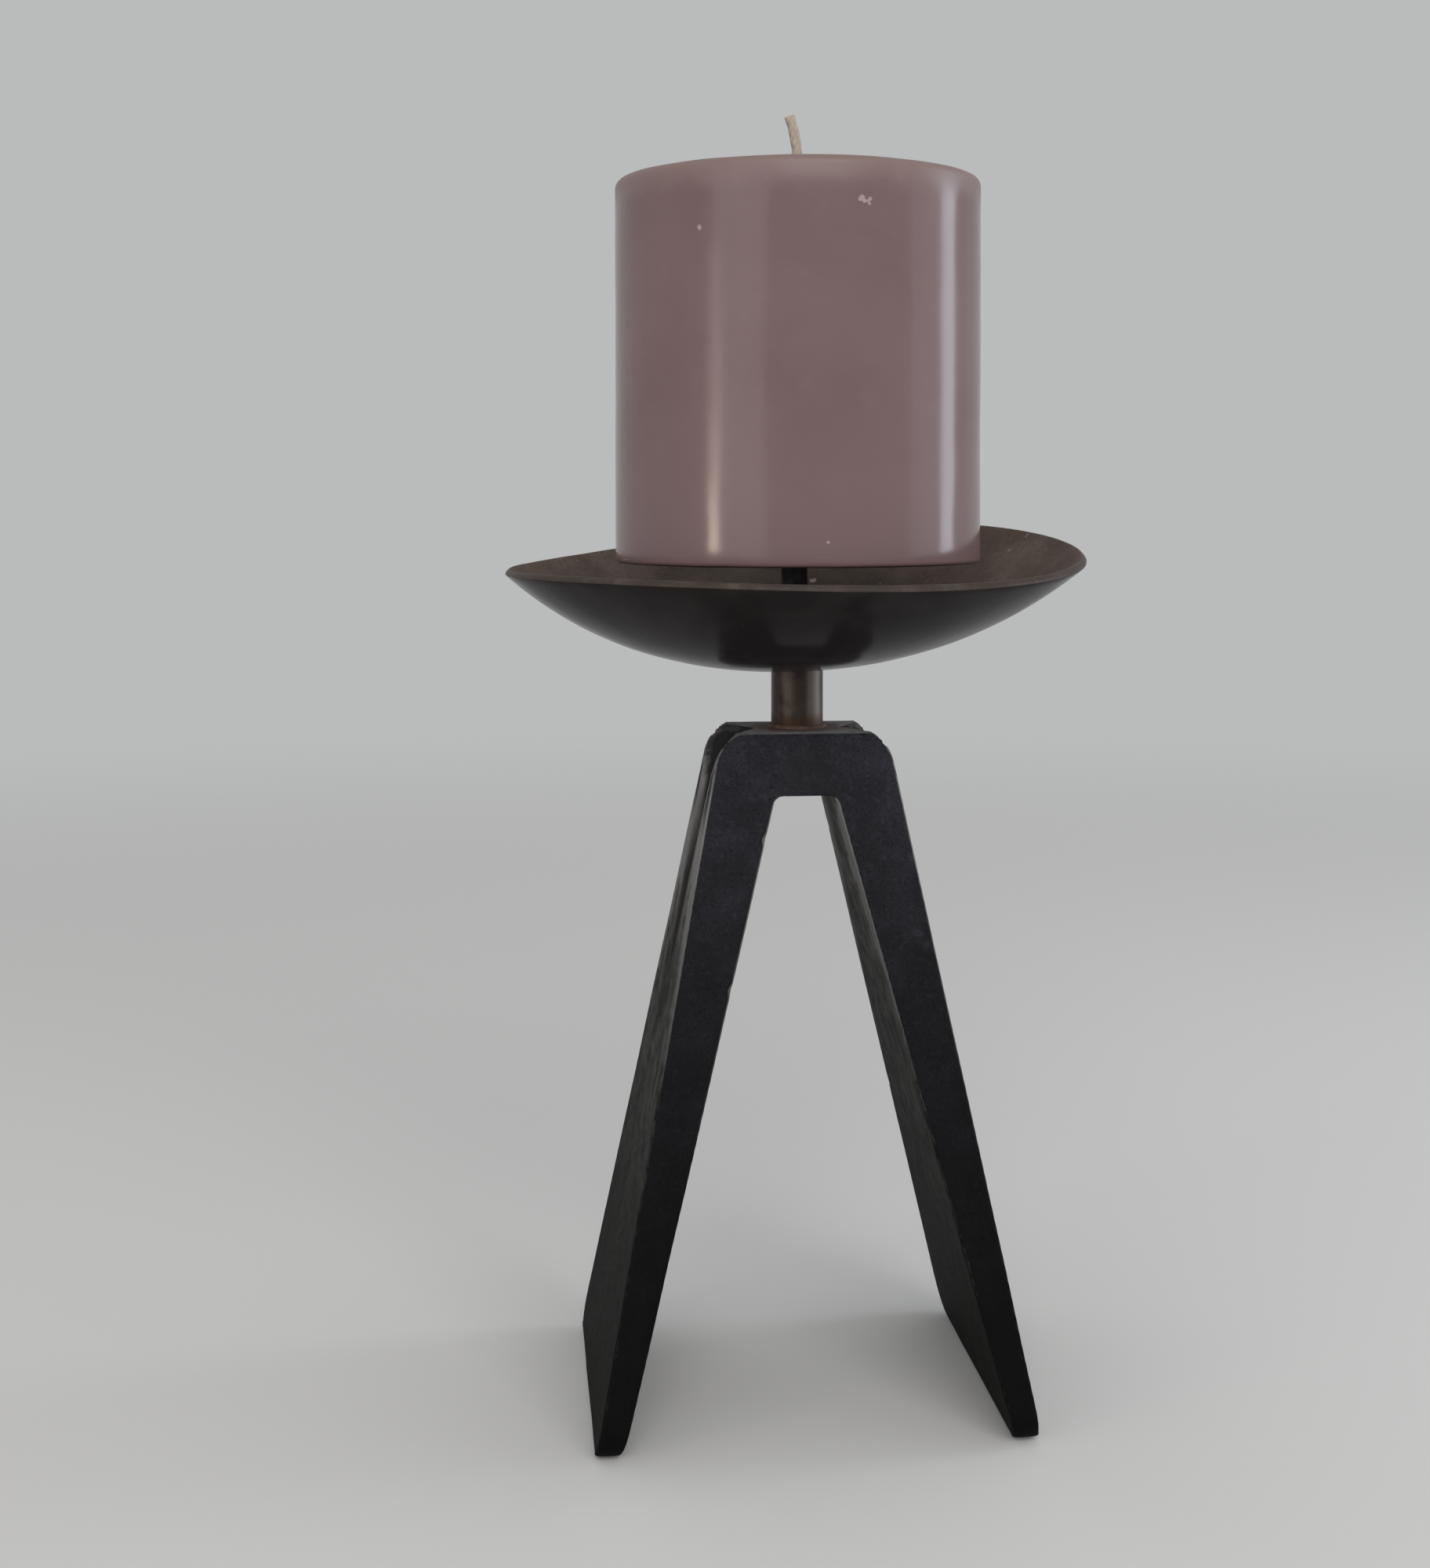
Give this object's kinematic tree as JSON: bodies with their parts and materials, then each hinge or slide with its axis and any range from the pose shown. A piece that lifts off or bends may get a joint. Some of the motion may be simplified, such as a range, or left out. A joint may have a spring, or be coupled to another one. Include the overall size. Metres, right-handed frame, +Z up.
{
  "type": "pricket candle holder",
  "caption": "Forged iron candle holder: splayed blade legs joined by a welded bridge, a short stem, a shallow drip dish and a spike that holds a pillar candle, which lifts off.",
  "frame": {"origin": "on the floor, midway between the two feet, under the axis of the stem", "axes": "+Z up along the stem, +X to the right leg, -Y to the front, the side the picture shows"},
  "size_m": [0.111, 0.1108, 0.2459],
  "materials": {
    "forged_iron": "black mill scale, bare bright edges, brushed marks",
    "seam_weld": "ground flush, a little duller than the legs",
    "stem_steel": "satin, browned by heat",
    "weld_ring": "rough, rust brown",
    "dish_black": "glossy black outside, dull brown-grey inside",
    "spike_black": "semi-gloss black",
    "candle_wax": "mauve wax, glossy",
    "wick_cotton": "cream braided cotton"
  },
  "bodies": {
    "holder": {"left_leg": "forged_iron", "right_leg": "forged_iron", "bridge_weld": "seam_weld", "stem": "stem_steel", "stem_weld": "weld_ring", "drip_dish": "dish_black", "spike": "spike_black", "spike_nut": "spike_black"},
    "candle": {"candle_wax": "candle_wax", "wick": "wick_cotton"}
  },
  "joints": [
    {"name": "candle_lift", "type": "slide", "parent": "holder", "child": "candle", "axis": [-0.0392, -0.0679, 0.9969], "range_m": [0, 0.045]}
  ]
}
